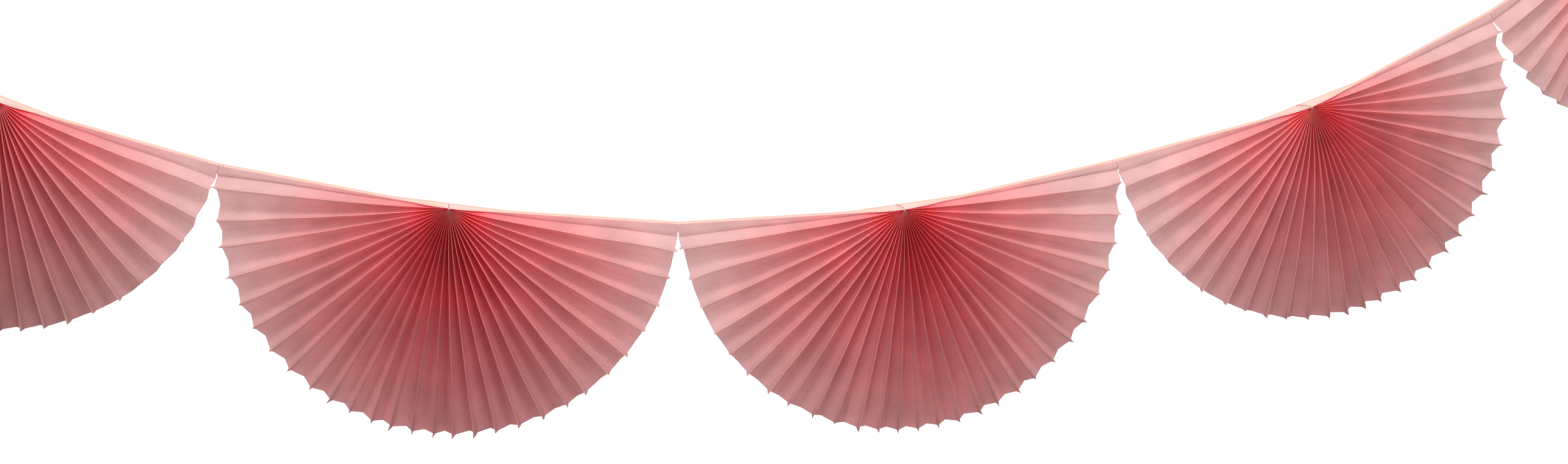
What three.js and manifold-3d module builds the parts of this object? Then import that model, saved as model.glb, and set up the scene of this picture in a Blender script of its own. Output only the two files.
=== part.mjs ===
// A garland of five half-round pleated paper fans, glued side by side to one paper tape and hung as a swag.
// Millimetres, +Z up, fronts towards -Y. The origin is the middle fan's apex, on the back face of the tape.
import * as THREE from "three";
import { mergeVertices } from "three/addons/utils/BufferGeometryUtils.js";
import Module from "manifold-3d";

const wasm = await Module();
wasm.setup();

// Fan sheet: one long strip folded to and fro, gathered at one end and spread to a little over a half round
const fanRadius = 303; // along a fold, from the apex to the rim
const pleatCount = 29;
const rimSlopeDeg = 51; // how steeply a panel stands at the rim of a fan spread evenly to a half round
const lowestSpacing = 0.82; // the folds' spacing at the bottom of a fan, as a share of their mean spacing
const paperThickness = 0.2;
const foldGap = 0.15; // air between two layers at the gather
const layFlatLength = 90; // how far from the apex an end panel has turned flat onto the tape
const drawnShare = 0.25; // how deep the pleats are where the thread draws them together, as a share of full
const drawnLength = 110; // how far from the apex they stand at their full depth

// Header tape: one ribbon of stiffer paper behind all the fans
const tapeWidth = 15;
const tapeThickness = 0.4;
const tapeShow = 2.8; // tape left bare above a fan's top edge
const bridgeLength = 78; // from the apex to each bend of the stretch that runs straight across it
const bareLength = 4.2; // bare tape between the corners of two fans
const endLength = 70; // bare tape past an outer fan, for a pin or an adhesive pad

// Tie thread: draws the gather tight, and ends in a knot and one cut tail
const threadDiameter = 0.9;
const knotLength = 1.6; // how far the knot stands out of the gather
const knotDiameter = 4.2;
const longestTail = 27;
const tailSides = 8;
const tailSteps = 10;

const seat = 0.3; // clearance between two pieces that touch

// How the garland hangs. Angles are how far each half of a fan's top edge rises towards +X, and yaw is how
// far a fan is turned so that its right side goes back. Each tail is a share of the longest one.
const drape = [
  { yawDeg: -11, leftDeg: -26, rightDeg: -15.5, tailShare: 0.48, tailLeanDeg: 20 },
  { yawDeg: -9.7, leftDeg: -10.5, rightDeg: -3.4, tailShare: 0.44, tailLeanDeg: 4 },
  { yawDeg: 0, leftDeg: 1.9, rightDeg: 11.4, tailShare: 0.63, tailLeanDeg: 42 },
  { yawDeg: 1.5, leftDeg: 13.2, rightDeg: 25.7, tailShare: 1, tailLeanDeg: 62 },
  { yawDeg: 11.5, leftDeg: 26.8, rightDeg: 33, tailShare: 0.56, tailLeanDeg: 30 },
];

const crimson = 0xc05a66;
const cream = 0xf6dccb;
const paper = (color) => new THREE.MeshStandardMaterial({ color, roughness: 0.9, side: THREE.DoubleSide });

const rad = THREE.MathUtils.degToRad;
const panelCount = 2 * pleatCount;
const panelWidth = (Math.PI * fanRadius) / panelCount / Math.cos(rad(rimSlopeDeg));
const gatherRadius = ((paperThickness + foldGap) * panelCount) / Math.PI;
const fanBack = -(tapeThickness + seat); // the plane that the rear folds lie in

// The sheet gets shallower as it spreads to the rim, and where the thread draws it together at the gather.
function sheetDepth(radius, panelAngle) {
  const full = Math.sqrt(panelWidth ** 2 - (radius * panelAngle) ** 2);
  const free = THREE.MathUtils.smoothstep(radius, gatherRadius, drawnLength);
  return full * THREE.MathUtils.lerp(drawnShare, 1, free);
}

// The sheet's thickness along Y, which keeps the wall paperThickness thick square to a sloping panel.
function wallAlongY(radius, panelAngle) {
  const depth = sheetDepth(radius, panelAngle);
  const run = radius * panelAngle;
  const steep = (run / paperThickness) ** 2 - 1;
  return (Math.sqrt(depth ** 2 + steep * (run ** 2 + depth ** 2)) - depth) / steep;
}

// Where each fold lies and how far the sheet spreads there. The folds hang closer together at the bottom of a
// fan than at its sides.
function foldSpread({ leftDeg, rightDeg }) {
  const opening = Math.PI + rad(rightDeg) - rad(leftDeg);
  const swell = 1 - lowestSpacing;
  return Array.from({ length: panelCount + 1 }, (_, fold) => {
    const turn = (2 * Math.PI * fold) / panelCount;
    return {
      angle: Math.PI + rad(leftDeg) + (opening * (turn + swell * Math.sin(turn))) / (2 * Math.PI),
      panelAngle: (opening * (1 + swell * Math.cos(turn))) / panelCount,
    };
  });
}

// One fan: straight folds from the gather to the rim, turn about front and back. The two end panels stand up
// at the gather and twist flat against the tape.
function fanSheet(fan) {
  const folds = foldSpread(fan);
  const turnSteps = 3;
  const flatSteps = 3;
  const stations = [];
  for (let i = 0; i < turnSteps; i++)
    stations.push(THREE.MathUtils.lerp(gatherRadius, layFlatLength, i / turnSteps));
  for (let i = 0; i <= flatSteps; i++)
    stations.push(THREE.MathUtils.lerp(layFlatLength, fanRadius, i / flatSteps));

  const front = [];
  const back = [];
  for (const radius of stations) {
    const standing = 1 - THREE.MathUtils.smoothstep(radius, gatherRadius, layFlatLength);
    for (const [fold, { angle, panelAngle }] of folds.entries()) {
      const isEnd = fold === 0 || fold === panelCount;
      const forward = isEnd ? standing : (fold + 1) % 2;
      const wall = wallAlongY(radius, panelAngle);
      const swing = sheetDepth(radius, panelAngle) - wall;
      const x = radius * Math.cos(angle);
      const y = fanBack - forward * swing;
      const z = radius * Math.sin(angle);
      front.push(x, y - wall, z);
      back.push(x, y, z);
    }
  }

  const row = panelCount + 1;
  const last = stations.length - 1;
  const F = (station, fold) => station * row + fold;
  const B = (station, fold) => stations.length * row + station * row + fold;
  const index = [];
  const quad = (a, b, c, d) => index.push(a, b, c, a, c, d);
  for (let fold = 0; fold < panelCount; fold++) {
    for (let s = 0; s < last; s++) {
      quad(F(s, fold), F(s + 1, fold), F(s + 1, fold + 1), F(s, fold + 1));
      index.push(B(s, fold), B(s + 1, fold + 1), B(s + 1, fold));
      index.push(B(s, fold), B(s, fold + 1), B(s + 1, fold + 1));
    }
    quad(F(last, fold + 1), F(last, fold), B(last, fold), B(last, fold + 1));
    quad(F(0, fold), F(0, fold + 1), B(0, fold + 1), B(0, fold));
  }
  for (let s = 0; s < last; s++) {
    quad(F(s + 1, 0), F(s, 0), B(s, 0), B(s + 1, 0));
    quad(F(s, panelCount), F(s + 1, panelCount), B(s + 1, panelCount), B(s, panelCount));
  }
  const geometry = new THREE.BufferGeometry();
  geometry.setAttribute("position", new THREE.Float32BufferAttribute([...front, ...back], 3));
  geometry.setIndex(index);
  geometry.computeVertexNormals();
  return geometry;
}

// A flat ribbon between a top and a bottom edge, each a list of [x, z], with its back face at y = 0.
function ribbon(top, bottom) {
  const outline = new THREE.Shape([...top, ...bottom.reverse()].map(([x, z]) => new THREE.Vector2(x, z)));
  const flat = new THREE.ExtrudeGeometry(outline, { depth: tapeThickness, bevelEnabled: false });
  return flat.rotateX(Math.PI / 2);
}

// Where a fan's corner lies from its apex. side is -1 for the left one and 1 for the right one.
function corner({ leftDeg, rightDeg }, side) {
  const rise = rad(side < 0 ? leftDeg : rightDeg);
  return { x: side * fanRadius * Math.cos(rise), z: side * fanRadius * Math.sin(rise), rise };
}

// The height of the tape's top edge over a point x of a fan's top edge that rises by the given angle.
const tapeTop = (x, rise) => x * Math.tan(rise) + tapeShow / Math.cos(rise);

// The stretch of tape behind one fan. It follows the top edge, but runs straight across the apex. An outer
// fan's stretch goes on past its outer corner as the bare end.
function headerTape(fan, bareSide) {
  const top = [-1, 1].map((side) => {
    const { x, rise } = corner(fan, side);
    const bend = side * bridgeLength * Math.cos(rise);
    const end = x + (side === bareSide ? side * endLength * Math.cos(rise) : 0);
    return { rise, points: [bend, end].map((at) => [at, tapeTop(at, rise)]) };
  });
  const edge = [top[0].points[1], top[0].points[0], top[1].points[0], top[1].points[1]];
  const drop = [top[0].rise, top[0].rise, top[1].rise, top[1].rise].map((rise) => tapeWidth / Math.cos(rise));
  return ribbon(edge, edge.map(([x, z], i) => [x, z - drop[i]]));
}

// The short bare stretch between two fans, in the plane of the fan that carries it. Its sides are upright, so
// that the next fan folds about an upright line.
function tapeBend(fan, next, side) {
  const here = corner(fan, side);
  const slope = (here.rise + corner(next, -side).rise) / 2;
  const height = here.z + tapeShow / Math.cos(here.rise);
  const ends = [seat, bareLength * Math.cos(slope) - seat];
  const edge = ends.map((along) => [here.x + side * along, height + side * along * Math.tan(slope)]);
  if (side < 0) edge.reverse();
  return ribbon(edge, edge.map(([x, z]) => [x, z - tapeWidth / Math.cos(slope)]));
}

function solidOf(geometry) {
  geometry.deleteAttribute("normal");
  geometry.deleteAttribute("uv");
  const merged = mergeVertices(geometry);
  return new wasm.Manifold(
    new wasm.Mesh({
      numProp: 3,
      vertProperties: merged.attributes.position.array,
      triVerts: new Uint32Array(merged.index.array),
    }),
  );
}

function geometryOf(solid) {
  const { vertProperties, triVerts } = solid.getMesh();
  const geometry = new THREE.BufferGeometry();
  geometry.setAttribute("position", new THREE.BufferAttribute(vertProperties, 3));
  geometry.setIndex(new THREE.BufferAttribute(triVerts, 1));
  geometry.computeVertexNormals();
  return geometry;
}

// The thread drawn tight through the gather, which fills the eye of the fan, its knot in front and its tail,
// which lies up the front of the tape.
function tieThread({ tailShare, tailLeanDeg }) {
  const radius = gatherRadius - seat;
  const wound = drawnShare * panelWidth;
  const knot = knotDiameter / 2;
  const profile = [
    [0, 0],
    [radius, 0],
    [radius, wound],
    [knot, wound],
    [knot * Math.cos(Math.PI / 6), wound + knotLength / 2],
    [knot / 2, wound + knotLength],
    [0, wound + knotLength],
  ];
  const binding = new THREE.LatheGeometry(profile.map(([x, y]) => new THREE.Vector2(x, y)), 2 * tailSides);
  binding.rotateX(Math.PI).translate(0, fanBack, 0);

  const thick = threadDiameter / 2;
  const lean = rad(tailLeanDeg);
  const tailLength = tailShare * longestTail;
  const path = new THREE.QuadraticBezierCurve3(
    new THREE.Vector3(0, fanBack - thick, radius / 2),
    new THREE.Vector3(0, fanBack - thick, radius + threadDiameter),
    new THREE.Vector3(-tailLength * Math.sin(lean), fanBack - thick, radius + tailLength * Math.cos(lean)),
  );
  const section = new THREE.Shape().absellipse(0, 0, thick, thick, 0, 2 * Math.PI);
  const tail = new THREE.ExtrudeGeometry(section, {
    steps: tailSteps,
    curveSegments: tailSides,
    extrudePath: path,
    bevelEnabled: false,
  });
  return geometryOf(solidOf(binding).add(solidOf(tail)));
}

function piece(name, geometry, color) {
  const mesh = new THREE.Mesh(geometry, paper(color));
  mesh.name = name;
  return mesh;
}

// One fan with its stretch of tape and its tie, in a group whose origin is the fan's apex.
function fanGroup(i) {
  const group = new THREE.Group();
  group.rotation.z = rad(drape[i].yawDeg);
  const bareSide = i === 0 ? -1 : i === drape.length - 1 ? 1 : 0;
  group.add(piece(`fan_${i + 1}`, fanSheet(drape[i]), crimson));
  group.add(piece(`header_tape_${i + 1}`, headerTape(drape[i], bareSide), cream));
  group.add(piece(`tie_thread_${i + 1}`, tieThread(drape[i]), cream));
  return group;
}

const garland = new THREE.Group();
const groups = drape.map((fan, i) => fanGroup(i));
garland.add(...groups);

// From the middle fan outwards, each fan starts at the far end of the bare stretch that the last one carries.
const middle = Math.floor(drape.length / 2);
for (const side of [-1, 1])
  for (let i = middle; drape[i + side]; i += side) {
    const fan = drape[i];
    const next = drape[i + side];
    const here = corner(fan, side);
    const there = corner(next, -side);
    const slope = (here.rise + there.rise) / 2;
    const across = side * bareLength * Math.cos(slope);
    const up = side * bareLength * Math.sin(slope);
    const pair = Math.min(i, i + side) + 1;
    groups[i].add(piece(`tape_bend_${pair}${pair + 1}`, tapeBend(fan, next, side), cream));
    groups[i].updateMatrixWorld();
    const fold = groups[i].localToWorld(new THREE.Vector3(here.x + across, 0, here.z + up));
    const apex = new THREE.Vector3(-there.x, 0, -there.z).applyEuler(groups[i + side].rotation);
    groups[i + side].position.copy(fold).add(apex);
  }

export default garland;
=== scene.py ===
import math

import bpy
from mathutils import Matrix, Vector


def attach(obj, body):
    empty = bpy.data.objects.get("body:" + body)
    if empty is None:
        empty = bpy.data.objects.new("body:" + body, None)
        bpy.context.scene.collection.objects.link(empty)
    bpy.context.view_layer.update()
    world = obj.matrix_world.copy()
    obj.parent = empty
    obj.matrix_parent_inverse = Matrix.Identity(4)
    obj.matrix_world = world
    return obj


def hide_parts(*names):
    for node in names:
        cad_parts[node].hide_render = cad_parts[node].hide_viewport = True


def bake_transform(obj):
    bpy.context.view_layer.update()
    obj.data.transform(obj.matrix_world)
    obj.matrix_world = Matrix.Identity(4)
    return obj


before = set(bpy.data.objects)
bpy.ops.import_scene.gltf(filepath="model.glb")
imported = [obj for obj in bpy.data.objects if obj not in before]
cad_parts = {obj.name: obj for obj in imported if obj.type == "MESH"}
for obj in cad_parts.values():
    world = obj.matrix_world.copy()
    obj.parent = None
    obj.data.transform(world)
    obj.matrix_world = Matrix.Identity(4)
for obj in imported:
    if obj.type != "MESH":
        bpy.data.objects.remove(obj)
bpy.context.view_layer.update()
scene = bpy.context.scene
print("frame loaded")


def addNode(tree, kind, inputs=None, **settings):
    node = tree.nodes.new(kind)
    for name, value in settings.items():
        setattr(node, name, value)
    for key, value in (inputs or {}).items():
        join(tree, value, node.inputs[key])
    return node


def join(tree, value, socket):
    if isinstance(value, bpy.types.NodeSocket):
        tree.links.new(value, socket)
    else:
        socket.default_value = value


def calc(tree, operation, a, b=0.0, c=0.0, clamp=False):
    node = addNode(tree, "ShaderNodeMath", {0: a, 1: b, 2: c}, operation=operation, use_clamp=clamp)
    return node.outputs[0]


def blendValues(tree, share, a, b):
    return addNode(tree, "ShaderNodeMix", {0: share, 2: a, 3: b}, clamp_factor=False).outputs[0]


def blendColours(tree, share, a, b, kind="MIX"):
    node = addNode(tree, "ShaderNodeMix", {0: share, 6: a, 7: b}, data_type="RGBA", blend_type=kind)
    return node.outputs[2]


def remap(tree, value, fromLow, fromHigh, toLow=0.0, toHigh=1.0, kind="SMOOTHSTEP"):
    inputs = {0: value, 1: fromLow, 2: fromHigh, 3: toLow, 4: toHigh}
    return addNode(tree, "ShaderNodeMapRange", inputs, interpolation_type=kind).outputs[0]


def splitVector(tree, vector):
    return addNode(tree, "ShaderNodeSeparateXYZ", {0: vector}).outputs


def makeVector(tree, x, y, z):
    return addNode(tree, "ShaderNodeCombineXYZ", {0: x, 1: y, 2: z}).outputs[0]


def blendVectors(tree, share, a, b):
    return addNode(tree, "ShaderNodeMix", {0: share, 4: a, 5: b}, data_type="VECTOR").outputs[1]


def combineVectors(tree, operation, a, b, result="Vector"):
    return addNode(tree, "ShaderNodeVectorMath", {0: a, 1: b}, operation=operation).outputs[result]


def scaleVector(tree, vector, by):
    return addNode(tree, "ShaderNodeVectorMath", {0: vector, "Scale": by}, operation="SCALE").outputs[0]


# Luck runs from 0 to 1. It is drawn by place, so that the same place always has the same luck.
def dice(tree, *where):
    return addNode(tree, "ShaderNodeTexWhiteNoise", {0: makeVector(tree, *where)}).outputs[0]


def luckBetween(tree, luck, low, high):
    return calc(tree, "MULTIPLY_ADD", luck, high - low, low)


def cloud(tree, where, scale, detail=2.0, roughness=0.5):
    inputs = {"Vector": where, "Scale": scale, "Detail": detail, "Roughness": roughness}
    return addNode(tree, "ShaderNodeTexNoise", inputs).outputs[0]


rad = math.radians
garland = {  # lengths in metres
    "fanRadius": 0.303,
    "pleats": 29,
    "rimSlope": rad(51),  # how steep a panel stands at the rim
    "fanBack": -0.0007,
    "tapeShow": 0.0028,  # how far the tape shows above a fan's straight edge
    "tapeWidth": 0.015,
    "bridge": 0.078,  # how far from the apex the tape leaves the fan's edge to run straight across
    "bare": 0.0042,  # the bare stretch of tape between two fans
    "flapBend": 0.060,  # how far below the tape a fan has bent when it flaps
    "foldGap": 0.00015,  # between the cut ends of the tape, where it folds
    "cornerGap": 0.0002,  # from that fold to a fan's corner
    "endReach": 0.0022,  # how far the outermost corners reach over the tape's bare ends
    "end": 0.070,  # those ends' length
}
drape = [
    {"yaw": -11, "left": -26, "right": -15.5},
    {"yaw": -9.7, "left": -10.5, "right": -3.4},
    {"yaw": 0, "left": 1.9, "right": 11.4},
    {"yaw": 1.5, "left": 13.2, "right": 25.7},
    {"yaw": 11.5, "left": 26.8, "right": 33},
]
fanCount = len(drape)
panels = 2 * garland["pleats"]
panelWidth = math.pi * garland["fanRadius"] / panels / math.cos(garland["rimSlope"])


def riseOf(fan, side):
    return rad(fan["left"] if side < 0 else fan["right"])


def cornerOf(fan, side):
    rise = riseOf(fan, side)
    return Vector((side * math.cos(rise), 0, side * math.sin(rise))) * garland["fanRadius"]


def placeFans():
    turns = [Matrix.Rotation(rad(fan["yaw"]), 4, "Z") for fan in drape]
    places = [Matrix() for fan in drape]
    for side in (-1, 1):
        i = fanCount // 2
        while 0 <= i + side < fanCount:
            fan, following = drape[i], drape[i + side]
            slope = (riseOf(fan, side) + riseOf(following, -side)) / 2
            bare = Vector((side * math.cos(slope), 0, side * math.sin(slope))) * garland["bare"]
            fold = places[i] @ (cornerOf(fan, side) + bare)
            apex = fold - turns[i + side] @ cornerOf(following, -side)
            places[i + side] = Matrix.Translation(apex) @ turns[i + side]
            i += side
    return places


places = placeFans()
print("fans placed:", [tuple(round(x, 4) for x in place.translation) for place in places])


lens = {
    "place": (-0.4663, -1.7897, 0.3680),
    "yaw": rad(9.41),
    "pitch": rad(5.72),
    "roll": rad(-0.31),
    "focal": 31.64,
    "shift": (0.0016, -0.1005),
}


def makeCamera():
    camera = bpy.data.objects.new("camera", bpy.data.cameras.new("camera"))
    scene.collection.objects.link(camera)
    yaw, pitch, roll = lens["yaw"], lens["pitch"], lens["roll"]
    ahead = Vector((math.sin(yaw) * math.cos(pitch), math.cos(yaw) * math.cos(pitch), -math.sin(pitch)))
    level = Vector((math.cos(yaw), -math.sin(yaw), 0))
    down = ahead.cross(level)
    right = math.cos(roll) * level + math.sin(roll) * down
    below = math.cos(roll) * down - math.sin(roll) * level
    turn = Matrix((right, -below, -ahead)).transposed()
    camera.matrix_world = Matrix.Translation(lens["place"]) @ turn.to_4x4()
    camera.data.lens = lens["focal"]
    camera.data.shift_x, camera.data.shift_y = lens["shift"]
    scene.camera = camera


makeCamera()
print("camera set")


def newMaterial(name):
    material = bpy.data.materials.new(name)
    material.use_nodes = True
    material.node_tree.nodes.clear()
    return material, material.node_tree


# What the mesh's points carry for the colours: three numbers under one name.
def readMark(tree, name):
    return splitVector(tree, addNode(tree, "ShaderNodeAttribute", attribute_name=name).outputs["Vector"])


fibreHeight = 0.1  # how far the fibres stand out, as a share of the crumpling


# Paper surface, for the tissue and the tape: uneven dye, fine fibres and the crumpling of handled paper.
def makePaperGrain():
    tree = bpy.data.node_groups.new("paperGrain", "ShaderNodeTree")
    for label, kind in (
        ("Colour", "Color"), ("Blotch Scale", "Float"), ("Blotch Amount", "Float"), ("Grain Scale", "Float"),
        ("Grain Amount", "Float"), ("Crumple Scale", "Float"), ("Crumple Depth", "Float"),
    ):
        tree.interface.new_socket(label, in_out="INPUT", socket_type="NodeSocket" + kind)
    tree.interface.new_socket("Colour", in_out="OUTPUT", socket_type="NodeSocketColor")
    tree.interface.new_socket("Blotch", in_out="OUTPUT", socket_type="NodeSocketFloat")
    tree.interface.new_socket("Normal", in_out="OUTPUT", socket_type="NodeSocketVector")
    given = addNode(tree, "NodeGroupInput").outputs
    where = addNode(tree, "ShaderNodeTexCoord").outputs["Object"]
    blotch = cloud(tree, where, given["Blotch Scale"], 3)
    grain = cloud(tree, where, given["Grain Scale"], 2, 0.7)
    crumple = cloud(tree, where, given["Crumple Scale"], 3, 0.55)

    even = calc(tree, "MULTIPLY", calc(tree, "SUBTRACT", blotch, 0.5), given["Blotch Amount"])
    fine = calc(tree, "MULTIPLY", calc(tree, "SUBTRACT", grain, 0.5), given["Grain Amount"])
    shade = calc(tree, "ADD", 1.0, calc(tree, "ADD", even, fine))
    colour = blendColours(tree, 1.0, given["Colour"], makeVector(tree, shade, shade, shade), "MULTIPLY")
    height = calc(tree, "MULTIPLY_ADD", grain, fibreHeight, crumple)
    relief = {"Strength": 1.0, "Distance": given["Crumple Depth"], "Height": height}
    bump = addNode(tree, "ShaderNodeBump", relief)
    addNode(tree, "NodeGroupOutput", {"Colour": colour, "Blotch": blotch, "Normal": bump.outputs[0]})
    return tree


paperGrain = makePaperGrain()


def addPaperGrain(tree, colour, values):
    group = addNode(tree, "ShaderNodeGroup", node_tree=paperGrain)
    join(tree, colour, group.inputs["Colour"])
    for label, value in values.items():
        group.inputs[label].default_value = value
    return group.outputs


# Thin paper: what it throws back, mixed with what it lets through.
def finishPaper(tree, colour, normal, roughness, through):
    inputs = {"Base Color": colour, "Normal": normal, "Roughness": roughness, "Specular IOR Level": 0.15}
    matt = addNode(tree, "ShaderNodeBsdfPrincipled", inputs)
    glow = addNode(tree, "ShaderNodeBsdfTranslucent", {"Color": colour, "Normal": normal})
    mixed = addNode(tree, "ShaderNodeMixShader", {0: through, 1: matt.outputs[0], 2: glow.outputs[0]})
    addNode(tree, "ShaderNodeOutputMaterial", {"Surface": mixed.outputs[0]})


tissue = {
    "dyeAndShade": [  # by the share of the way to the rim
        (0.06, (0.90, 0.042, 0.074, 1)), (0.25, (0.97, 0.128, 0.172, 1)), (0.46, (0.95, 0.270, 0.310, 1)),
        (0.74, (0.89, 0.375, 0.390, 1)), (1.3, (0.80, 0.545, 0.535, 1)),
    ],
    "paleSides": 0.58,  # the dye is paler at a fan's two sides, as if this much nearer the rim
    "paleFalloff": 1.3,
    "paleReach": (0.02, 0.22),  # a reach is a share of the way to the rim, and what it is for fades over it
    "middleFade": (0.04, 0.95),  # how the middle's painted shade fades in from the sides
    "gluedShade": (0.74, 0.97),  # painted shade on the two end panels on the tape: their lightness near the gather and farther out
    "gluedReach": (0.04, 0.45),
    # The ridges' lines are a painted highlight, where each fold catches the light.
    "ridgeIn": (0.98, 0.40, 0.35, 1),  # at the gather
    "ridgeOut": (0.98, 0.64, 0.58, 1),  # at the rim
    "ridgeWidth": 0.7,  # mm, and at most this share of half a pleat:
    "ridgeShare": 0.13,
    "ridgeSoftness": (0.3, 1.0),  # the shares of that width over which a ridge's line fades
    "ridgeStrength": (0.85, 0.40),  # at the gather and at the rim
    "ridgeReach": (0.1, 0.9),
    "gathered": (0.78, 0.290, 0.260, 1),  # painted shade in the crowded folds, where the thread presses them together
    "gatheredStrength": 0.85,
    "gatheredReach": (0.012, 0.044),
    "gatheredMiddle": (0.45, 0.9),  # it fades in from the sides too
    "edge": (0.60, 0.16, 0.23, 1),
    "edgeStrength": 0.8,
    "edgeWidth": 0.045,  # as a share of a panel
    "unevenDye": 0.10,
    "unevenScale": 15.0,
    "through": 0.5,
    "roughness": 0.85,
    "grain": {
        "Blotch Scale": 22.0, "Blotch Amount": 0.32, "Grain Scale": 700.0, "Grain Amount": 0.45,
        "Crumple Scale": 90.0, "Crumple Depth": 0.0005,
    },
}


# Reads where a point is on its sheet: the fold's number, the share of the way to the rim, and 1 on a ridge.
def makeTissue():
    material, tree = newMaterial("dyedTissue")
    fold, reach, nearRidge = readMark(tree, "sheetPlace")
    middleShade, paleness = readMark(tree, "dyeAndShade")[:2]
    where = addNode(tree, "ShaderNodeTexCoord").outputs["Object"]

    middle = calc(tree, "SINE", calc(tree, "MULTIPLY", fold, math.pi / panels))
    paler = calc(tree, "POWER", calc(tree, "SUBTRACT", 1.0, middle, clamp=True), tissue["paleFalloff"])
    paler = calc(tree, "MULTIPLY", paler, remap(tree, reach, *tissue["paleReach"]))
    uneven = tissue["unevenDye"]
    drift = calc(tree, "MULTIPLY_ADD", cloud(tree, where, tissue["unevenScale"]), uneven, -uneven / 2)
    drift = calc(tree, "MULTIPLY_ADD", paler, tissue["paleSides"], calc(tree, "ADD", drift, paleness))
    farthest = tissue["dyeAndShade"][-1][0]
    shade = calc(tree, "DIVIDE", calc(tree, "ADD", reach, drift), farthest)
    ramp = addNode(tree, "ShaderNodeValToRGB", {0: shade})
    stops = ramp.color_ramp.elements
    while len(stops) < len(tissue["dyeAndShade"]):
        stops.new(0.5)
    for stop, (at, colour) in zip(stops, tissue["dyeAndShade"]):
        stop.position, stop.color = at / farthest, colour
    # Painted shade: a fan's middle, where its pleats hang down, is darker by each side's given lightness.
    tone = blendValues(tree, remap(tree, middle, *tissue["middleFade"]), 1.0, middleShade)
    fromEdge = calc(tree, "MINIMUM", fold, calc(tree, "SUBTRACT", panels, fold))
    # Painted shade: the two end panels on the tape are darker, most of all near the gather.
    glued = calc(tree, "LESS_THAN", fromEdge, 1.0)
    gluedShade = remap(tree, reach, *tissue["gluedReach"], *tissue["gluedShade"])
    tone = calc(tree, "MULTIPLY", tone, blendValues(tree, glued, 1.0, gluedShade))
    dyedAndShaded = blendColours(tree, 1.0, ramp.outputs[0], makeVector(tree, tone, tone, tone), "MULTIPLY")

    # Painted highlight: a lighter line along each ridge, where its fold catches the light.
    halfPleat = calc(tree, "MULTIPLY", reach, 1000 * panelWidth * math.cos(garland["rimSlope"]))  # mm
    fromRidge = calc(tree, "MULTIPLY", calc(tree, "SUBTRACT", 1.0, nearRidge), halfPleat)
    narrowest = calc(tree, "MULTIPLY", halfPleat, tissue["ridgeShare"])
    near = calc(tree, "DIVIDE", fromRidge, calc(tree, "MINIMUM", tissue["ridgeWidth"], narrowest))
    strength = remap(tree, reach, *tissue["ridgeReach"], *tissue["ridgeStrength"], "LINEAR")
    strength = calc(tree, "MULTIPLY", strength, remap(tree, reach, *tissue["gatheredReach"]))
    line = calc(tree, "MULTIPLY", remap(tree, near, *tissue["ridgeSoftness"], 1.0, 0.0), strength)
    paintedRidgeHighlight = blendColours(tree, reach, tissue["ridgeIn"], tissue["ridgeOut"])
    colour = blendColours(tree, line, dyedAndShaded, paintedRidgeHighlight)
    # Painted shade in the crowded folds at the gather, strongest in the fan's middle.
    drawn = remap(tree, reach, *tissue["gatheredReach"], tissue["gatheredStrength"], 0.0)
    drawn = calc(tree, "MULTIPLY", drawn, remap(tree, middle, *tissue["gatheredMiddle"]))
    colour = blendColours(tree, drawn, colour, tissue["gathered"])

    cut = remap(tree, fromEdge, 0.0, tissue["edgeWidth"], tissue["edgeStrength"], 0.0)
    colour = blendColours(tree, cut, colour, tissue["edge"])
    paper = addPaperGrain(tree, colour, tissue["grain"])
    finishPaper(tree, paper["Colour"], paper["Normal"], tissue["roughness"], tissue["through"])
    return material


tapePaper = {
    "colour": (0.90, 0.68, 0.61, 1),
    "stain": (0.88, 0.61, 0.52, 1),
    "stained": (0.45, 0.75),  # how strong the blotches are where a stain starts and where it is full
    "hem": (0.88, 0.52, 0.41, 1),
    "hemWidth": 1.7,  # mm
    "hemFade": (0.92, 1.08),  # in shares of that width, as are the line's place and width
    "hemLine": (0.70, 0.36, 0.29, 1),
    "hemLineAt": 1.05,
    "hemLineWidth": 0.16,
    "hemLineStrength": 0.7,
    "through": 0.2,
    "roughness": 0.75,
    "grain": {
        "Blotch Scale": 30.0, "Blotch Amount": 0.08, "Grain Scale": 900.0, "Grain Amount": 0.08,
        "Crumple Scale": 160.0, "Crumple Depth": 0.0002,
    },
}


# Along its top edge the ribbon is turned over into a narrow hem, which shows darker.
def makeTapePaper():
    material, tree = newMaterial("creamTapePaper")
    paper = addPaperGrain(tree, tapePaper["colour"], tapePaper["grain"])
    stained = remap(tree, paper["Blotch"], *tapePaper["stained"])
    colour = blendColours(tree, stained, paper["Colour"], tapePaper["stain"])
    fromTop = calc(tree, "DIVIDE", readMark(tree, "tapePlace")[1], tapePaper["hemWidth"])
    hemmed = remap(tree, fromTop, *tapePaper["hemFade"], 1.0, 0.0)
    colour = blendColours(tree, hemmed, colour, tapePaper["hem"])
    fromLine = calc(tree, "ABSOLUTE", calc(tree, "SUBTRACT", fromTop, tapePaper["hemLineAt"]))
    lined = remap(tree, fromLine, 0.0, tapePaper["hemLineWidth"], tapePaper["hemLineStrength"], 0.0)
    colour = blendColours(tree, lined, colour, tapePaper["hemLine"])
    finishPaper(tree, colour, paper["Normal"], tapePaper["roughness"], tapePaper["through"])
    return material


threadYarn = {
    "light": (0.62, 0.28, 0.26, 1),
    "dark": (0.40, 0.15, 0.15, 1),
    "fibreScale": 1500.0,
    "fibreFade": (0.3, 0.7),
    "fibreDepth": 0.0001,
    "roughness": 0.8,
}


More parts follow.
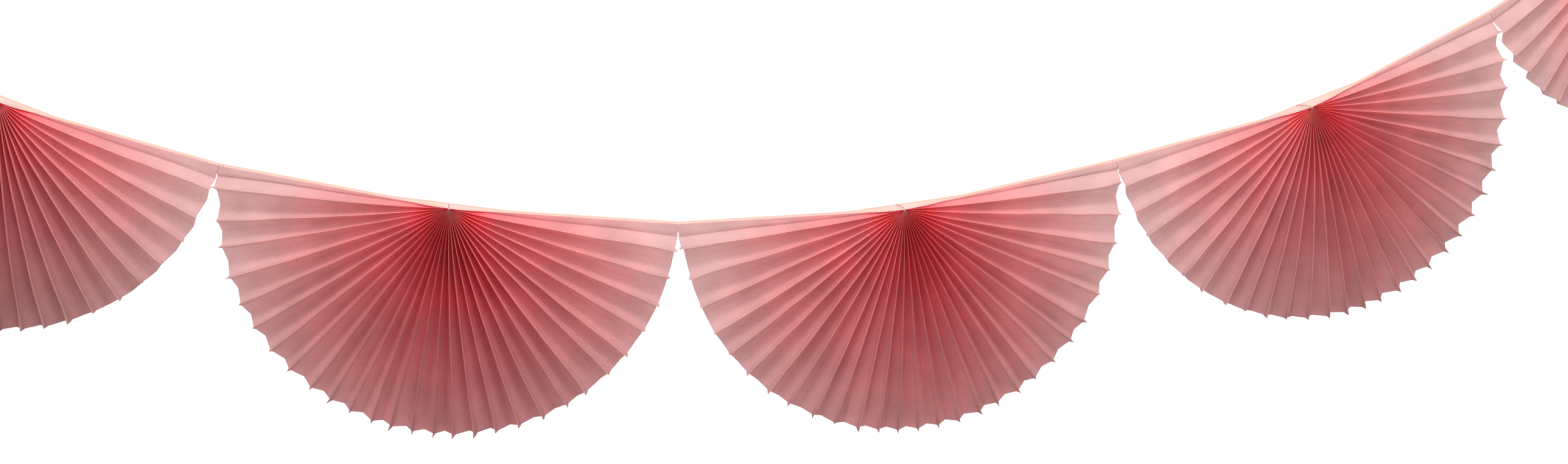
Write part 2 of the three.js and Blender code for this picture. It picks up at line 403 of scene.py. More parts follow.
def makeThreadYarn():
    material, tree = newMaterial("sewingThread")
    where = addNode(tree, "ShaderNodeTexCoord").outputs["Object"]
    fibre = cloud(tree, where, threadYarn["fibreScale"], 3, 0.6)
    lit = remap(tree, fibre, *threadYarn["fibreFade"])
    colour = blendColours(tree, lit, threadYarn["dark"], threadYarn["light"])
    relief = {"Strength": 0.5, "Distance": threadYarn["fibreDepth"], "Height": fibre}
    normal = addNode(tree, "ShaderNodeBump", relief).outputs[0]
    inputs = {"Base Color": colour, "Normal": normal, "Roughness": threadYarn["roughness"]}
    yarn = addNode(tree, "ShaderNodeBsdfPrincipled", inputs)
    addNode(tree, "ShaderNodeOutputMaterial", {"Surface": yarn.outputs[0]})
    return material


tissuePaper = makeTissue()
creamPaper = makeTapePaper()
threadCotton = makeThreadYarn()
print("materials made")


def newTree(name, values):
    tree = bpy.data.node_groups.new(name, "GeometryNodeTree")
    kinds = {int: "Int", float: "Float", bpy.types.Material: "Material"}
    for label, value in values.items():
        kind = kinds.get(type(value), "Vector")
        tree.interface.new_socket(label, in_out="INPUT", socket_type="NodeSocket" + kind)
    tree.interface.new_socket("Mesh", in_out="OUTPUT", socket_type="NodeSocketGeometry")
    return tree, addNode(tree, "NodeGroupInput").outputs


def endTree(tree, geometry, material):
    whole = addNode(tree, "GeometryNodeRealizeInstances", {0: geometry}).outputs[0]
    painted = addNode(tree, "GeometryNodeSetMaterial", {"Geometry": whole, "Material": material}).outputs[0]
    addNode(tree, "NodeGroupOutput", {0: painted})


def storeMark(tree, mesh, name, value):
    inputs = {"Geometry": mesh, "Name": name, "Value": value}
    kinds = {"data_type": "FLOAT_VECTOR", "domain": "POINT"}
    return addNode(tree, "GeometryNodeStoreNamedAttribute", inputs, **kinds).outputs[0]


def movePoints(tree, mesh, **where):
    return addNode(tree, "GeometryNodeSetPosition", {"Geometry": mesh, **where}).outputs[0]


def makeSmooth(tree, mesh):
    inputs = {"Geometry": mesh, "Shade Smooth": True}
    return addNode(tree, "GeometryNodeSetShadeSmooth", inputs, domain="FACE").outputs[0]


# Runs a tree with its values, gives the sheet its thickness, and keeps a plain mesh of it in its place.
def growPiece(name, tree, values, thickness, place):
    piece = bpy.data.objects.new(name, bpy.data.meshes.new(name + "Start"))
    scene.collection.objects.link(piece)
    modifier = piece.modifiers.new("shape", "NODES")
    modifier.node_group = tree
    for item in tree.interface.items_tree:
        if item.in_out == "INPUT":
            modifier[item.identifier] = values[item.name]
    if thickness:
        wall = piece.modifiers.new("wall", "SOLIDIFY")
        wall.thickness = thickness
        wall.offset = -1
    graph = bpy.context.evaluated_depsgraph_get()
    grown = piece.evaluated_get(graph)
    plain = bpy.data.meshes.new_from_object(grown, preserve_all_data_layers=True, depsgraph=graph)
    piece.modifiers.clear()
    piece.data = plain
    plain.name = name
    plain.transform(place)
    return piece


fanShape = {
    "Gather Radius": 0.0014,
    "Swell": 0.18,  # how much closer the folds hang at the bottom, and wider at the sides
    "Lay Flat": 0.060,  # the end panels stand up at the gather, and lie flat on the tape from this radius
    "Fullness": 1.0,  # how deep the pleats are, as a share of what stiff panels would give
    "Draw Length": 0.086,  # how quickly they fill out from the gather, where the thread presses them flat
    "Steps Across": 8,  # a panel
    "Steps Along": 44,
    "Ridge Crowding": 2.1,  # above 1, the steps are closer at the ridges and at the rim
    "Rim Crowding": 1.4,
    "Uneven": 0.16,  # how far a fold may lie from its even place, as a share of a panel
    "Depth Luck": 0.16,  # how much the ridges differ in height at the rim, from the lowest to the highest
    "Ripple": 0.0026,  # how far a fold wanders along its way
    "Ripple Across": 7.3,
    "Ripple Along": 11.0,
    "Slack": 0.05,  # how much a panel sags
    "Pinch": 0.14,  # how much of a ridge stays pressed into a fin
    "Fin Sharpness": 20.0,
    "Tip Length": 0.030,
    "Tip Pinch": 0.42,
    "Tip Reach": 0.0029,  # how far a ridge's tip is pulled out past the rim
    "Tip Width": 0.12,  # as a share of a panel
    "Hook": 0.0020,  # how far it leans to one side
    "Bulge": 0.0020,  # how far the end panels stand off the tape
    "Bulge Roll": 6.0,
    "End Narrow": 0.50,  # how far the first pleat lies towards the tape, as a share of a panel
    "Narrow From": 4.0,  # the folds from an end over which that fades out
    "Narrow To": 28.0,
    "Edge Wave": 0.0012,  # how unevenly the strip's two ends are glued along the tape
    "Edge Wave Scale": 36.0,
    "Corner Folds": 3.0,  # the fold, counted from an end, where a corner's reach has faded out
    "Rim Wave": 0.0022,  # how unevenly the rim was cut
    "Rim Wave Scale": 0.45,
    "Rim Wave Level": 0.6,
    "Crinkle": 0.0012,  # how much the paper is dented near the rim
    "Crinkle Scale": 26.0,
    "Crinkle Step": 0.31,
    "Dye And Shade From": 0.35,  # where the left half's dye and painted shade give way to the right half's, as shares of the fan
    "Dye And Shade To": 0.65,
}
snap = 840.0  # points are rounded to this many places a panel, so that folds fall on whole numbers
draws = {"angle": 1.5, "depth": 4.5, "pinch": 9.5, "lean": 12.5}  # tells each kind of luck from the others
pleatLuck = {"pinch": (0.6, 1.4), "tipPinch": (0.6, 1.1), "tipReach": (0.4, 1.6)}  # shares of the sizes above
fanThickness = 0.00008

# For each fan's left and right: the lightness of the painted shade in the fan's middle, where its pleats hang
# down, and how much paler the dye is, as if the paper were nearer the rim by this share.
fanDyeAndShade = [
    {"left": (0.60, -0.06), "right": (0.58, -0.10)},
    {"left": (0.80, 0.02), "right": (0.68, -0.15)},
    {"left": (0.75, -0.04), "right": (0.79, -0.03)},
    {"left": (0.70, -0.03), "right": (0.85, 0.10)},
    {"left": (0.75, 0.05), "right": (0.77, 0.05)},
]


# A corner's reach over the bare tape beside it, up to the line that the tape folds on, and half the angle at
# which the slit there opens downwards. The fan nearer the middle carries the bare tape.
def cornerCut(i, side):
    if not 0 <= i + side < fanCount:
        return Vector((garland["endReach"], 0, 0))
    carries = (i - fanCount // 2) * side >= 0
    reach = (garland["bare"] if carries else 0) - garland["cornerGap"]
    return Vector((reach, abs(riseOf(drape[i + side], -side) - riseOf(drape[i], side)) / 2, 0))


def fanValues(i):
    fan = drape[i]
    return {
        "Fan Radius": garland["fanRadius"], "Panel Width": panelWidth, "Panels": panels,
        "Left Rise": rad(fan["left"]), "Right Rise": rad(fan["right"]), "Back Plane": garland["fanBack"],
        "Left Corner": cornerCut(i, -1), "Right Corner": cornerCut(i, 1), "Tape Width": garland["tapeWidth"],
        "Left Dye And Shade": Vector((*fanDyeAndShade[i]["left"], 0)), "Right Dye And Shade": Vector((*fanDyeAndShade[i]["right"], 0)),
        **fanShape, "Seed": i + 1, "Tissue": tissuePaper,
    }


# The angle and the depth of one fold where the fan has this radius. Even folds are ridges, odd ones valleys.
def foldAt(tree, given, fold, radius):
    fromEdge = calc(tree, "MINIMUM", fold, calc(tree, "SUBTRACT", given["Panels"], fold))
    inner = calc(tree, "MINIMUM", fromEdge, 1.0)
    outerEdge = calc(tree, "SUBTRACT", 1.0, inner)
    opening = calc(tree, "ADD", calc(tree, "SUBTRACT", given["Right Rise"], given["Left Rise"]), math.pi)
    turn = calc(tree, "DIVIDE", calc(tree, "MULTIPLY", fold, 2 * math.pi), given["Panels"])
    wider = calc(tree, "MULTIPLY_ADD", given["Swell"], calc(tree, "COSINE", turn), 1.0)
    spread = calc(tree, "MULTIPLY", calc(tree, "DIVIDE", opening, given["Panels"]), wider)
    swung = calc(tree, "MULTIPLY_ADD", given["Swell"], calc(tree, "SINE", turn), turn)
    angle = calc(tree, "MULTIPLY", calc(tree, "MULTIPLY", opening, swung), 0.5 / math.pi)

    luck = luckBetween(tree, dice(tree, fold, given["Seed"], draws["angle"]), -1.0, 1.0)
    across = calc(tree, "MULTIPLY", fold, given["Ripple Across"])
    along = calc(tree, "MULTIPLY", radius, given["Ripple Along"])
    wander = makeVector(tree, across, along, given["Seed"])
    wobble = luckBetween(tree, cloud(tree, wander, 1.0, 1.0), -1.0, 1.0)
    uneven = calc(tree, "MULTIPLY", calc(tree, "MULTIPLY", luck, given["Uneven"]), spread)
    ripple = calc(tree, "MULTIPLY", wobble, calc(tree, "DIVIDE", given["Ripple"], given["Fan Radius"]))
    shift = calc(tree, "MULTIPLY", inner, calc(tree, "ADD", uneven, ripple))
    firstPleat = calc(tree, "MINIMUM", calc(tree, "MULTIPLY", fromEdge, 0.5), 1.0)
    fading = remap(tree, fromEdge, given["Narrow From"], given["Narrow To"], 1.0, 0.0)
    firstPleat = calc(tree, "MULTIPLY", firstPleat, fading)
    narrow = calc(tree, "MULTIPLY", calc(tree, "MULTIPLY", given["End Narrow"], spread), firstPleat)
    onRight = calc(tree, "GREATER_THAN", turn, math.pi)
    shift = calc(tree, "MULTIPLY_ADD", narrow, calc(tree, "MULTIPLY_ADD", onRight, 2.0, -1.0), shift)

    inward = calc(tree, "MULTIPLY_ADD", calc(tree, "MINIMUM", fold, 1.0), -2.0, 1.0)
    along = calc(tree, "MULTIPLY", radius, given["Edge Wave Scale"])
    frayed = cloud(tree, makeVector(tree, along, fold, given["Seed"]), 1.0)
    wave = calc(tree, "DIVIDE", calc(tree, "MULTIPLY", given["Edge Wave"], frayed), radius)
    wave = calc(tree, "MULTIPLY", calc(tree, "MULTIPLY", wave, inward), outerEdge)
    angle = calc(tree, "ADD", angle, calc(tree, "ADD", given["Left Rise"], math.pi))
    angle = calc(tree, "ADD", angle, calc(tree, "ADD", shift, wave))

    width = calc(tree, "POWER", given["Panel Width"], 2.0)
    run = calc(tree, "POWER", calc(tree, "MULTIPLY", radius, spread), 2.0)
    depth = calc(tree, "SQRT", calc(tree, "MAXIMUM", calc(tree, "SUBTRACT", width, run), 0.0))
    inset = calc(tree, "SUBTRACT", given["Gather Radius"], radius)
    drawn = calc(tree, "EXPONENT", calc(tree, "DIVIDE", inset, given["Draw Length"]))
    full = calc(tree, "MULTIPLY", calc(tree, "SUBTRACT", 1.0, drawn), given["Fullness"])
    depth = calc(tree, "MULTIPLY", depth, full)
    standing = remap(tree, radius, given["Gather Radius"], given["Lay Flat"], 1.0, 0.0)
    ridge = calc(tree, "SUBTRACT", 1.0, calc(tree, "MODULO", fold, 2.0))
    forward = calc(tree, "MULTIPLY_ADD", outerEdge, standing, inner)
    forward = calc(tree, "MULTIPLY", ridge, forward)
    share = calc(tree, "DIVIDE", radius, given["Fan Radius"])
    luck = dice(tree, fold, given["Seed"], draws["depth"])
    taller = calc(tree, "MULTIPLY", calc(tree, "SUBTRACT", luck, 0.5), given["Depth Luck"])
    forward = calc(tree, "MULTIPLY", forward, calc(tree, "MULTIPLY_ADD", taller, share, 1.0))
    return angle, calc(tree, "MULTIPLY", forward, depth), inner


# Fan: a strip folded to and fro. Columns of points run along the folds, closer together near each ridge.
def makeFanTree():
    tree, given = newTree("pleatedFan", fanValues(0))
    columns = calc(tree, "MULTIPLY_ADD", given["Panels"], given["Steps Across"], 1.0)
    rows = calc(tree, "ADD", given["Steps Along"], 1.0)
    size = {"Size X": 1.0, "Size Y": 1.0, "Vertices X": columns, "Vertices Y": rows}
    grid = addNode(tree, "GeometryNodeMeshGrid", size)
    at = splitVector(tree, addNode(tree, "GeometryNodeInputPosition").outputs[0])
    across = calc(tree, "MULTIPLY", calc(tree, "ADD", at[0], 0.5), given["Panels"])
    across = calc(tree, "DIVIDE", calc(tree, "ROUND", calc(tree, "MULTIPLY", across, snap)), snap)
    along = calc(tree, "MAXIMUM", calc(tree, "SUBTRACT", 0.5, at[1]), 0.0)
    along = calc(tree, "POWER", along, given["Rim Crowding"])
    span = calc(tree, "SUBTRACT", given["Fan Radius"], given["Gather Radius"])
    radius = calc(tree, "SUBTRACT", given["Fan Radius"], calc(tree, "MULTIPLY", along, span))
    reach = calc(tree, "DIVIDE", radius, given["Fan Radius"])

    before = calc(tree, "FLOOR", calc(tree, "MINIMUM", across, calc(tree, "SUBTRACT", given["Panels"], 0.5)))
    after = calc(tree, "ADD", before, 1.0)
    ridgeFirst = calc(tree, "SUBTRACT", 1.0, calc(tree, "MODULO", before, 2.0))
    fromRidge = calc(tree, "POWER", calc(tree, "PINGPONG", across, 1.0), given["Ridge Crowding"])
    nearRidge = calc(tree, "SUBTRACT", 1.0, fromRidge)
    share = blendValues(tree, ridgeFirst, nearRidge, fromRidge)
    angleA, depthA, innerA = foldAt(tree, given, before, radius)
    angleB, depthB, innerB = foldAt(tree, given, after, radius)
    ridgeDepth = blendValues(tree, ridgeFirst, depthB, depthA)
    valleyDepth = blendValues(tree, ridgeFirst, depthA, depthB)

    # A ridge stays pressed into a narrow fin, most of all at its tip. Its pleat opens towards the valleys.
    pleat = calc(tree, "ROUND", calc(tree, "MULTIPLY", across, 0.5))
    luck = dice(tree, pleat, given["Seed"], draws["pinch"])
    more = luckBetween(tree, luck, *pleatLuck["pinch"])
    inner = calc(tree, "MULTIPLY", innerA, innerB)
    slack = calc(tree, "MULTIPLY", calc(tree, "MULTIPLY", given["Slack"], inner), more)
    open = calc(tree, "POWER", nearRidge, calc(tree, "MULTIPLY_ADD", slack, reach, 1.0))
    tipFrom = calc(tree, "SUBTRACT", given["Fan Radius"], given["Tip Length"])
    nearTip = remap(tree, radius, tipFrom, given["Fan Radius"])
    fin = calc(tree, "POWER", nearRidge, given["Fin Sharpness"])
    pinch = calc(tree, "MULTIPLY", given["Pinch"], more)
    atTip = luckBetween(tree, luck, *pleatLuck["tipPinch"])
    tipPinch = calc(tree, "MULTIPLY", given["Tip Pinch"], atTip)
    finShare = calc(tree, "MULTIPLY", blendValues(tree, nearTip, pinch, tipPinch), inner)
    depth = blendValues(tree, blendValues(tree, finShare, open, fin), valleyDepth, ridgeDepth)

    # An end panel is wider than its place on the tape, so it leans out from its glued top and turns in below.
    # The factor brings the highest point of that to about 1.
    fromTop = calc(tree, "SUBTRACT", 1.0, nearRidge)
    fromTop = blendValues(tree, calc(tree, "MINIMUM", before, 1.0), fromTop, fromRidge)
    rolled = calc(tree, "SUBTRACT", 1.0, calc(tree, "POWER", fromTop, given["Bulge Roll"]))
    swollen = calc(tree, "MULTIPLY", calc(tree, "MULTIPLY", fromTop, rolled), 1.6)
    flatPart = remap(tree, radius, given["Gather Radius"], given["Lay Flat"])
    bulge = calc(tree, "MULTIPLY", given["Bulge"], swollen)
    bulge = calc(tree, "MULTIPLY", bulge, calc(tree, "SUBTRACT", 1.0, inner))
    depth = calc(tree, "ADD", depth, calc(tree, "MULTIPLY", bulge, calc(tree, "MULTIPLY", flatPart, reach)))

    lean = luckBetween(tree, dice(tree, pleat, given["Seed"], draws["lean"]), -1.0, 1.0)
    curl = calc(tree, "POWER", nearTip, 2.0)
    hook = calc(tree, "MULTIPLY", calc(tree, "MULTIPLY", lean, given["Hook"]), curl)
    hook = calc(tree, "DIVIDE", calc(tree, "MULTIPLY", hook, fin), given["Fan Radius"])
    angle = calc(tree, "ADD", blendValues(tree, share, angleA, angleB), calc(tree, "MULTIPLY", hook, inner))

    # The strip was cut and gathered by hand: its rim isn't quite round, its ridges end in pulled-out tips,
    # and its corners reach the next fan's.
    rim = makeVector(tree, calc(tree, "MULTIPLY", across, given["Rim Wave Scale"]), 0.5, given["Seed"])
    rim = calc(tree, "SUBTRACT", cloud(tree, rim, 1.0), given["Rim Wave Level"])
    rim = calc(tree, "MULTIPLY", rim, given["Rim Wave"])
    fromSide = calc(tree, "MINIMUM", across, calc(tree, "SUBTRACT", given["Panels"], across))
    cornered = remap(tree, fromSide, 1.0, given["Corner Folds"], 1.0, 0.0)
    isRight = calc(tree, "GREATER_THAN", across, calc(tree, "MULTIPLY", given["Panels"], 0.5))
    corner = splitVector(tree, blendVectors(tree, isRight, given["Left Corner"], given["Right Corner"]))
    below = calc(tree, "MULTIPLY", calc(tree, "MINIMUM", fromSide, 1.0), given["Tape Width"])
    cut = calc(tree, "MULTIPLY_ADD", below, calc(tree, "TANGENT", corner[1]), corner[0])
    rim = blendValues(tree, cornered, rim, cut)
    wavy = calc(tree, "MULTIPLY_ADD", rim, calc(tree, "POWER", reach, 2.0), radius)
    tip = calc(tree, "SUBTRACT", 1.0, calc(tree, "DIVIDE", fromRidge, given["Tip Width"]), clamp=True)
    pulled = luckBetween(tree, luck, *pleatLuck["tipReach"])
    tip = calc(tree, "MULTIPLY", tip, calc(tree, "MULTIPLY", given["Tip Reach"], pulled))
    wavy = calc(tree, "MULTIPLY_ADD", calc(tree, "MULTIPLY", tip, inner), curl, wavy)
    x = calc(tree, "MULTIPLY", wavy, calc(tree, "COSINE", angle))
    z = calc(tree, "MULTIPLY", wavy, calc(tree, "SINE", angle))
    soft = makeVector(tree, x, calc(tree, "MULTIPLY", before, given["Crinkle Step"]), z)
    soft = calc(tree, "MULTIPLY", cloud(tree, soft, given["Crinkle Scale"]), given["Crinkle"])
    soft = calc(tree, "MULTIPLY", soft, calc(tree, "MULTIPLY", reach, reach))
    y = calc(tree, "SUBTRACT", given["Back Plane"], calc(tree, "ADD", depth, soft))

    placed = storeMark(tree, grid.outputs[0], "sheetPlace", makeVector(tree, across, reach, nearRidge))
    fanShare = calc(tree, "DIVIDE", across, given["Panels"])
    toRight = remap(tree, fanShare, given["Dye And Shade From"], given["Dye And Shade To"])
    dyeAndShade = blendVectors(tree, toRight, given["Left Dye And Shade"], given["Right Dye And Shade"])
    placed = storeMark(tree, placed, "dyeAndShade", dyeAndShade)
    smooth = makeSmooth(tree, movePoints(tree, placed, Position=makeVector(tree, x, y, z)))

    # Edges along a fold stay sharp: there the mark is 1 on a ridge and 0 in a valley.
    inputs = {"Name": "sheetPlace"}
    mark = addNode(tree, "GeometryNodeInputNamedAttribute", inputs, data_type="FLOAT_VECTOR").outputs[0]
    fromHalf = calc(tree, "ABSOLUTE", calc(tree, "SUBTRACT", splitVector(tree, mark)[2], 0.5))
    crease = calc(tree, "GREATER_THAN", fromHalf, 0.4999)
    creased = addNode(tree, "GeometryNodeSetShadeSmooth", {
        "Geometry": smooth, "Selection": crease, "Shade Smooth": False,
    }, domain="EDGE").outputs[0]
    endTree(tree, creased, given["Tissue"])
    return tree


# Tape: a ribbon that follows a fan's top edge, and runs straight across its apex.
tapeShape = {
    "Ribbon Width": garland["tapeWidth"],
    "Thickness": 0.0003,
    "Edge Wave": 0.0005,
    "Edge Wave Along": 42.0,
    "Edge Wave Across": 0.7,
    "Lift": 0.00025,  # how far its surface comes forward in places
    "Lift Scale": 30.0,
    "Steps Along": 220,
    "Steps Across": 8,
    "Seed": 7,
}


def makeTapeTree():
    values = {"From": 0.0, "To": 0.0, "Left Slope": 0.0, "Right Slope": 0.0}
    values |= {"Left Bend": Vector(), "Right Bend": Vector()}
    tree, given = newTree("tapeRibbon", {**values, **tapeShape, "Paper": creamPaper})
    grid = addNode(tree, "GeometryNodeMeshGrid", {
        "Size X": 1.0, "Size Y": 1.0, "Vertices X": given["Steps Along"], "Vertices Y": given["Steps Across"],
    })
    at = splitVector(tree, addNode(tree, "GeometryNodeInputPosition").outputs[0])
    x = blendValues(tree, calc(tree, "ADD", at[0], 0.5), given["From"], given["To"])
    left, right = splitVector(tree, given["Left Bend"]), splitVector(tree, given["Right Bend"])
    middle = remap(tree, x, left[0], right[0], left[2], right[2], "LINEAR")
    before = calc(tree, "MINIMUM", calc(tree, "SUBTRACT", x, left[0]), 0.0)
    beyond = calc(tree, "MAXIMUM", calc(tree, "SUBTRACT", x, right[0]), 0.0)
    top = calc(tree, "MULTIPLY_ADD", before, given["Left Slope"], middle)
    top = calc(tree, "MULTIPLY_ADD", beyond, given["Right Slope"], top)

    bent = remap(tree, x, left[0], right[0])
    slope = blendValues(tree, bent, given["Left Slope"], given["Right Slope"])
    taller = calc(tree, "SQRT", calc(tree, "MULTIPLY_ADD", slope, slope, 1.0))
    down = calc(tree, "MULTIPLY", given["Ribbon Width"], calc(tree, "SUBTRACT", 0.5, at[1]))
    drop = calc(tree, "MULTIPLY", down, taller)
    along = calc(tree, "MULTIPLY", x, given["Edge Wave Along"])
    across = calc(tree, "MULTIPLY", at[1], given["Edge Wave Across"])
    edge = cloud(tree, makeVector(tree, along, given["Seed"], across), 1.0, 3.0)
    edge = calc(tree, "MULTIPLY", calc(tree, "SUBTRACT", edge, 0.5), given["Edge Wave"])
    z = calc(tree, "ADD", calc(tree, "SUBTRACT", top, drop), edge)
    along = calc(tree, "MULTIPLY", x, given["Lift Scale"])
    lifted = cloud(tree, makeVector(tree, along, at[1], given["Seed"]), 1.0)
    front = calc(tree, "MULTIPLY_ADD", lifted, given["Lift"], given["Thickness"])
    y = calc(tree, "MULTIPLY", front, -1.0)
    mark = makeVector(tree, x, calc(tree, "MULTIPLY", down, 1000.0), 0.0)  # how far below the top, in mm
    placed = storeMark(tree, grid.outputs[0], "tapePlace", mark)
    shaped = movePoints(tree, placed, Position=makeVector(tree, x, y, z))
    endTree(tree, makeSmooth(tree, shaped), given["Paper"])
    return tree


def tapeTop(x, rise):
    return x * math.tan(rise) + garland["tapeShow"] / math.cos(rise)


def tapeValues(i):
    left, right = riseOf(drape[i], -1), riseOf(drape[i], 1)
    bends = [side * garland["bridge"] * math.cos(rise) for side, rise in ((-1, left), (1, right))]
    ends = [cornerOf(drape[i], side).x for side in (-1, 1)]
    if i == 0:
        ends[0] -= garland["end"] * math.cos(left)
    if i == fanCount - 1:
        ends[1] += garland["end"] * math.cos(right)
    return {
        "From": ends[0], "To": ends[1],
        "Left Bend": Vector((bends[0], 0, tapeTop(bends[0], left))),
        "Right Bend": Vector((bends[1], 0, tapeTop(bends[1], right))),
        "Left Slope": math.tan(left), "Right Slope": math.tan(right),
        **tapeShape, "Paper": creamPaper,
    }


# The short stretch between two fans is the same ribbon, in the plane of the fan that carries it.
def bendValues(i, side):
    rise = riseOf(drape[i], side)
    slope = (rise + riseOf(drape[i + side], -side)) / 2
    here = cornerOf(drape[i], side)
    x = sorted((here.x, here.x + side * (garland["bare"] * math.cos(slope) - garland["foldGap"])))
    height = here.z + garland["tapeShow"] / math.cos(rise)
    ends = [Vector((at, 0, height + (at - here.x) * math.tan(slope))) for at in x]
    return {
        "From": x[0], "To": x[1], "Left Bend": ends[0], "Right Bend": ends[1],
        "Left Slope": math.tan(slope), "Right Slope": math.tan(slope),
        **tapeShape, "Steps Along": 8, "Paper": creamPaper,
    }


# Thread: two plies wound about each other, from the knot at the front of the gather and up the tape.
threadShape = {
    "Strand": 0.00027,
    "Twist Length": 0.0028,
    "Steps": 90,
    "Sides": 7,
    "Knot Size": 0.0010,
    "Lump Scale": 900.0,
}
knotLuck = (0.4, 1.6)  # how far the knot's lumps stand out, as shares of its size

# Where the thread lies, from the apex: the knot's place, how far in front of the fan's back plane it and the
# tail are, and how the thread curves between them. Each tail ends so far to the side and so far up.
threadLay = {
    "knot": (0.0004, -0.0006),
    "knotFront": 0.0016,
    "tailFront": 0.0004,
    "lean": 0.0002,
    "riseFront": 0.0004,
    "bendFront": 0.0003,
}
threadTails = [(-0.004, 0.007), (-0.0004, 0.0062), (-0.012, 0.0074), (-0.024, 0.0040), (-0.006, 0.0075)]


def makeThreadTree():
    values = {"Start": Vector(), "Rise": Vector(), "Bend": Vector(), "End": Vector()}
    tree, given = newTree("tieThread", {**values, **threadShape, "Yarn": threadCotton})
    line = addNode(tree, "GeometryNodeCurvePrimitiveBezierSegment", {
        "Resolution": given["Steps"], "Start": given["Start"], "Start Handle": given["Rise"],
        "End Handle": given["Bend"], "End": given["End"],
    }).outputs[0]
    even = addNode(tree, "GeometryNodeResampleCurve", {"Curve": line, "Count": given["Steps"]}).outputs[0]
    normal = addNode(tree, "GeometryNodeInputNormal").outputs[0]
    tangent = addNode(tree, "GeometryNodeInputTangent").outputs[0]
    side = combineVectors(tree, "CROSS_PRODUCT", normal, tangent)
    length = addNode(tree, "GeometryNodeSplineParameter").outputs["Length"]
    ring = {"Resolution": given["Sides"], "Radius": given["Strand"]}
    section = addNode(tree, "GeometryNodeCurvePrimitiveCircle", ring).outputs[0]
    strands = addNode(tree, "GeometryNodeJoinGeometry")
    for phase in (0, math.pi):
        turn = calc(tree, "DIVIDE", calc(tree, "MULTIPLY", length, 2 * math.pi), given["Twist Length"])
        turn = calc(tree, "ADD", turn, phase)
        a = scaleVector(tree, normal, calc(tree, "COSINE", turn))
        b = scaleVector(tree, side, calc(tree, "SINE", turn))
        out = combineVectors(tree, "ADD", a, b)
        wound = movePoints(tree, even, Offset=scaleVector(tree, out, given["Strand"]))
        inputs = {"Curve": wound, "Profile Curve": section, "Fill Caps": True}
        tree.links.new(addNode(tree, "GeometryNodeCurveToMesh", inputs).outputs[0], strands.inputs[0])
    inputs = {"Radius": given["Knot Size"], "Subdivisions": 3}
    ball = addNode(tree, "GeometryNodeMeshIcoSphere", inputs).outputs[0]
    at = addNode(tree, "GeometryNodeInputPosition").outputs[0]
    lump = luckBetween(tree, cloud(tree, at, given["Lump Scale"], 1.0), *knotLuck)
    knot = movePoints(tree, ball, Position=scaleVector(tree, at, lump))
    inputs = {"Geometry": knot, "Translation": given["Start"]}
    tied = addNode(tree, "GeometryNodeTransform", inputs).outputs[0]
    tree.links.new(tied, strands.inputs[0])
    endTree(tree, makeSmooth(tree, strands.outputs[0]), given["Yarn"])
    return tree


def threadValues(i):
    side, up = threadTails[i]
    front, back = (garland["fanBack"] - threadLay[key] for key in ("knotFront", "tailFront"))
    lean = math.copysign(threadLay["lean"], side)
    return {
        "Start": Vector((threadLay["knot"][0], front, threadLay["knot"][1])),
        "Rise": Vector((lean, front - threadLay["riseFront"], 0.5 * up)),
        "Bend": Vector((0.5 * side, back - threadLay["bendFront"], 0.8 * up)),
        "End": Vector((side, back, up)),
        **threadShape, "Yarn": threadCotton,
    }


fanTree, tapeTree, threadTree = makeFanTree(), makeTapeTree(), makeThreadTree()
print("trees made")


# A fan and its thread, in their places under their stretch of tape.
def makeFan(i):
    run, hung = f"tape_run_{i + 1}", f"hung_fan_{i + 1}"
    tape = growPiece(f"tapeRun{i + 1}", tapeTree, tapeValues(i), tapeShape["Thickness"], places[i])
    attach(tape, run)
    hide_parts(f"header_tape_{i + 1}")

    fan = growPiece(f"tissueFan{i + 1}", fanTree, fanValues(i), fanThickness, places[i])
    thread = growPiece(f"tieThread{i + 1}", threadTree, threadValues(i), 0, places[i])
    tilt = (riseOf(drape[i], -1) + riseOf(drape[i], 1)) / 2
    for piece, node, slot in ((fan, "fan", "tissue"), (thread, "tie_thread", "thread")):
        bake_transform(piece)
        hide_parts(f"{node}_{i + 1}")
    return fan


def makeBend(i, side):
    pair = min(i, i + side) + 1
    name = f"{pair}{pair + 1}"
    bend = growPiece(f"tapeBend{name}", tapeTree, bendValues(i, side), tapeShape["Thickness"], places[i])
    corner = cornerOf(drape[i], side)
    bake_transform(bend)
    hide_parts(f"tape_bend_{name}")


for i in range(fanCount):
    fan = makeFan(i)
for side in (-1, 1):
    for step in range(fanCount // 2):
        makeBend(fanCount // 2 + side * step, side)
print("garland made:", len(fan.data.polygons), "faces a fan")


room = {
    "floor": -1.7,
    "size": 60.0,
    "pale": 0.60,  # the floor as it is seen, and what it throws back
    "bounce": 0.50,
    "seenWhite": 0.85,
    "fill": 0.93,  # the light from above, from below and, added to both, from the front
    "fillBelow": 0.58,
    "horizon": -0.2,  # how high the light from below reaches, from -1 straight down to 1 straight up
    "front": (-0.25, -1.0, 0.0),
    "fillFront": 0.5,
    "aim": (0.0, 0.0, -0.1),
    "lamps": {
        "softboxAbove": {"place": (0.0, -2.4, 6.0), "size": 1.6, "power": 220.0},
        "softboxInFront": {"place": (-1.1, -6.0, 0.6), "size": 1.6, "power": 120.0},
    },
}


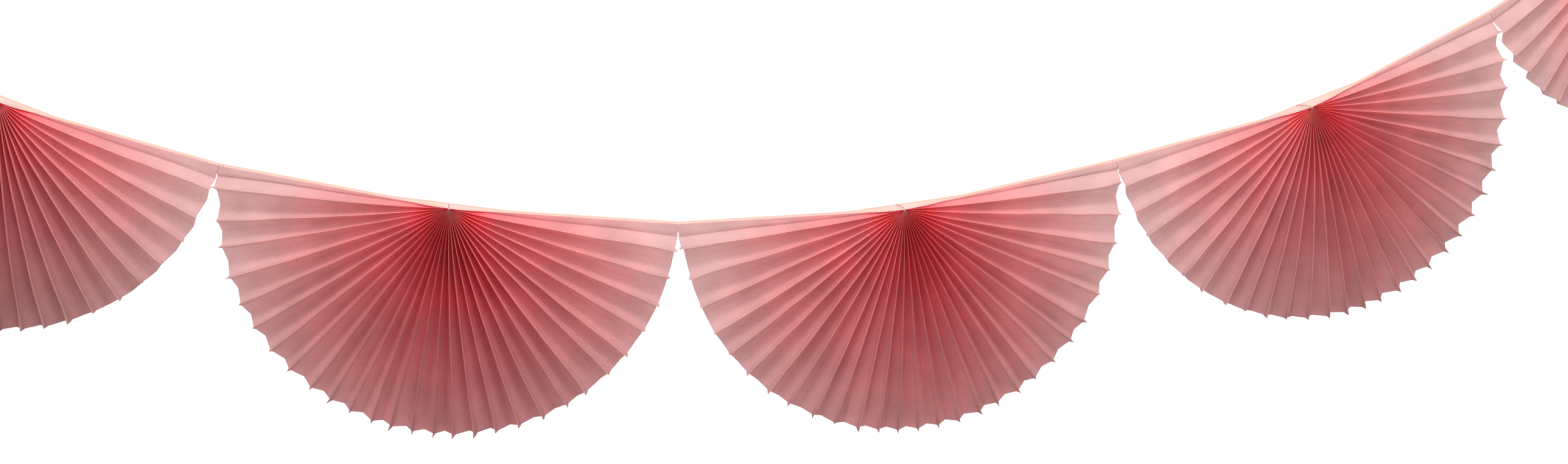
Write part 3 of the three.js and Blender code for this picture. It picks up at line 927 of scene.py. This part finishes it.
def makeRoom():
    half = room["size"] / 2
    mesh = bpy.data.meshes.new("floor")
    corners = [(-half, -half, 0), (half, -half, 0), (half, half, 0), (-half, half, 0)]
    mesh.from_pydata(corners, [], [(0, 1, 2, 3)])
    mesh.transform(Matrix.Translation((0, 0, room["floor"])))
    floor = bpy.data.objects.new("floor", mesh)
    scene.collection.objects.link(floor)
    material, tree = newMaterial("paleFloor")
    seen = addNode(tree, "ShaderNodeLightPath").outputs["Is Camera Ray"]
    pale = blendValues(tree, seen, room["bounce"], room["pale"])
    matt = addNode(tree, "ShaderNodeBsdfDiffuse", {"Color": makeVector(tree, pale, pale, pale)})
    glow = calc(tree, "MULTIPLY", seen, room["seenWhite"])
    white = addNode(tree, "ShaderNodeEmission", {"Color": (1, 1, 1, 1), "Strength": glow})
    both = addNode(tree, "ShaderNodeAddShader", {0: matt.outputs[0], 1: white.outputs[0]})
    addNode(tree, "ShaderNodeOutputMaterial", {"Surface": both.outputs[0]})
    mesh.materials.append(material)

    world = bpy.data.worlds.new("studio")
    scene.world = world
    world.use_nodes = True
    tree = world.node_tree
    tree.nodes.clear()
    path = addNode(tree, "ShaderNodeLightPath").outputs
    seen = calc(tree, "MAXIMUM", path["Is Glossy Ray"], path["Is Transmission Ray"])
    seen = calc(tree, "MAXIMUM", path["Is Camera Ray"], seen)
    direction = addNode(tree, "ShaderNodeTexCoord").outputs["Generated"]
    height = splitVector(tree, direction)[2]
    soft = remap(tree, height, room["horizon"], 1.0, room["fillBelow"], room["fill"], "LINEAR")
    facing = combineVectors(tree, "DOT_PRODUCT", direction, Vector(room["front"]).normalized(), "Value")
    soft = calc(tree, "ADD", soft, remap(tree, facing, 0.0, 1.0, 0.0, room["fillFront"], "LINEAR"))
    strength = blendValues(tree, seen, soft, 1.0)
    sky = addNode(tree, "ShaderNodeBackground", {"Color": (1, 1, 1, 1), "Strength": strength})
    addNode(tree, "ShaderNodeOutputWorld", {"Surface": sky.outputs[0]})

    for name, values in room["lamps"].items():
        lamp = bpy.data.lights.new(name, "AREA")
        lamp.size = values["size"]
        lamp.energy = values["power"]
        softbox = bpy.data.objects.new(name, lamp)
        scene.collection.objects.link(softbox)
        softbox.location = values["place"]
        softbox.rotation_euler = (Vector(room["aim"]) - softbox.location).to_track_quat("-Z", "Y").to_euler()


makeRoom()
scene.view_settings.view_transform = "Standard"
print("room made")
